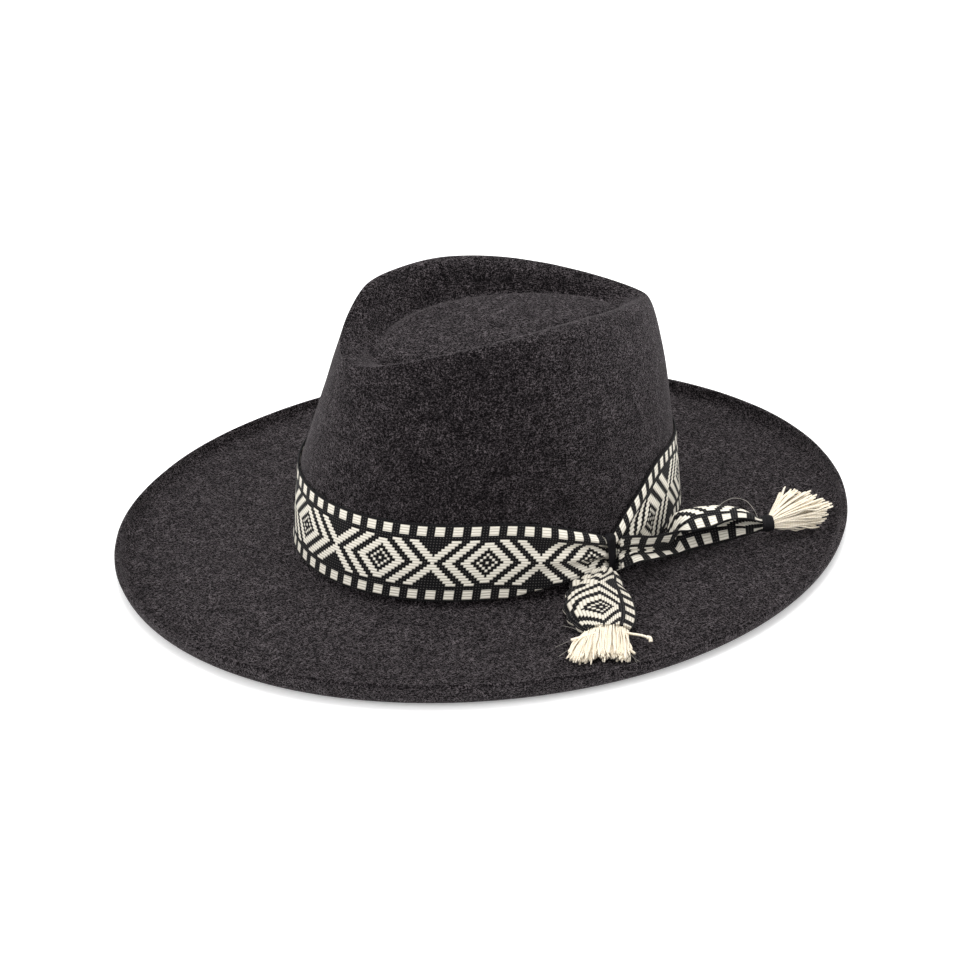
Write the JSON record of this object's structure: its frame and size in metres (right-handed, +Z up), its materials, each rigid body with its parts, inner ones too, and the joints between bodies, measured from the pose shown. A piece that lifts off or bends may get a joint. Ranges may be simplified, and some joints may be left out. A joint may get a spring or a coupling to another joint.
{
  "type": "rancher hat",
  "caption": "Wide brimmed felt hat with a dented crown, a woven ribbon band knotted at one side and two tasselled ribbon tails.",
  "frame": {"origin": "middle of the brim's outline, on the surface that the brim rests on", "axes": "+Z up through the crown, -Y to the front of the hat, +X to the wearer's left, where the band is knotted"},
  "size_m": [0.346, 0.3812, 0.1287],
  "materials": {
    "felt": "heathered charcoal wool felt, matt",
    "ribbon": "woven cotton ribbon, black with cream diamonds",
    "thread": "black sewing thread, wound",
    "cotton": "frayed cream cotton yarn"
  },
  "bodies": {
    "root": {"felt_body": "felt", "hat_band": "ribbon", "knot_wrap": "thread", "tail_long": "ribbon", "tail_short": "ribbon", "tie_long": "thread", "tassel_long": "cotton", "tassel_short": "cotton"}
  },
  "joints": []
}
